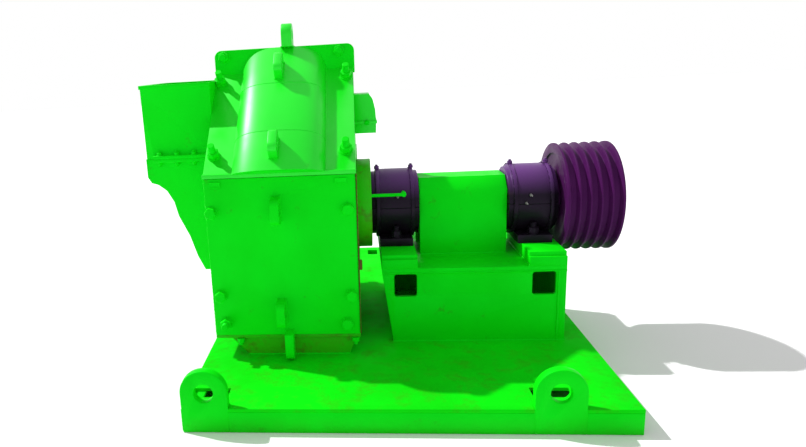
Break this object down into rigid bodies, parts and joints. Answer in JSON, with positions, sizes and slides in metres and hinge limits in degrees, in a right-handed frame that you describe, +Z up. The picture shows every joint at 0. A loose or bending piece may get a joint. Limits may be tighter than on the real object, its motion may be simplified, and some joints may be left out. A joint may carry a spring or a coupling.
{
  "type": "impact crusher",
  "caption": "Impact crusher on a welded base: bolted housing with sloped vaulted covers, side feed chute, overhung rotor, plummer blocks and a grooved belt pulley.",
  "frame": {"origin": "middle of the base's underside, on the floor", "axes": "+X along the shaft towards the pulley, +Y from the front door to the rear, +Z up"},
  "size_m": [1.742, 1.78, 1.261],
  "materials": {
    "green_paint": "gloss green paint, worn at the edges",
    "purple_paint": "gloss dark purple paint",
    "bare_steel": "machined shaft steel",
    "cast_steel": "rough wear-resistant casting"
  },
  "bodies": {
    "frame": {"rail_front": "green_paint", "rail_rear": "green_paint", "rail_left": "green_paint", "rail_right": "green_paint", "cross_beams": "green_paint", "deck_plate": "green_paint", "eyes_front": "green_paint", "eyes_rear": "green_paint", "discharge_skirt": "green_paint", "housing_bottom": "green_paint", "side_left": "green_paint", "side_right": "green_paint", "frame_front": "green_paint", "frame_rear": "green_paint", "door_front": "green_paint", "door_rear": "green_paint", "liners": "cast_steel", "cover_front": "green_paint", "cover_rear": "green_paint", "split_front": "green_paint", "split_rear": "green_paint", "cover_lugs": "green_paint", "breaker_bars": "cast_steel", "lifting_lug": "green_paint", "chute_upper": "green_paint", "chute_lower": "green_paint", "vent_hood": "green_paint", "seal_housing": "green_paint", "pedestal_front": "green_paint", "pedestal_back": "green_paint", "pedestal_ends": "green_paint", "pedestal_top": "green_paint", "bearing_seats": "purple_paint", "bearing_in_base": "purple_paint", "bearing_in_cap": "purple_paint", "bearing_out_base": "purple_paint", "bearing_out_cap": "purple_paint", "shaft_guard": "green_paint", "grease_pipe": "green_paint"},
    "rotor": {"shaft": "bare_steel", "rotor_hub": "cast_steel", "rotor_discs": "cast_steel", "hammer_pins": "bare_steel", "hammers": "cast_steel", "pulley": "purple_paint"}
  },
  "joints": [
    {"name": "rotor_spin", "type": "hinge", "parent": "frame", "child": "rotor", "pos_m": [0, -0.108, 0.555], "axis": [1, 0, 0], "continuous": true}
  ]
}
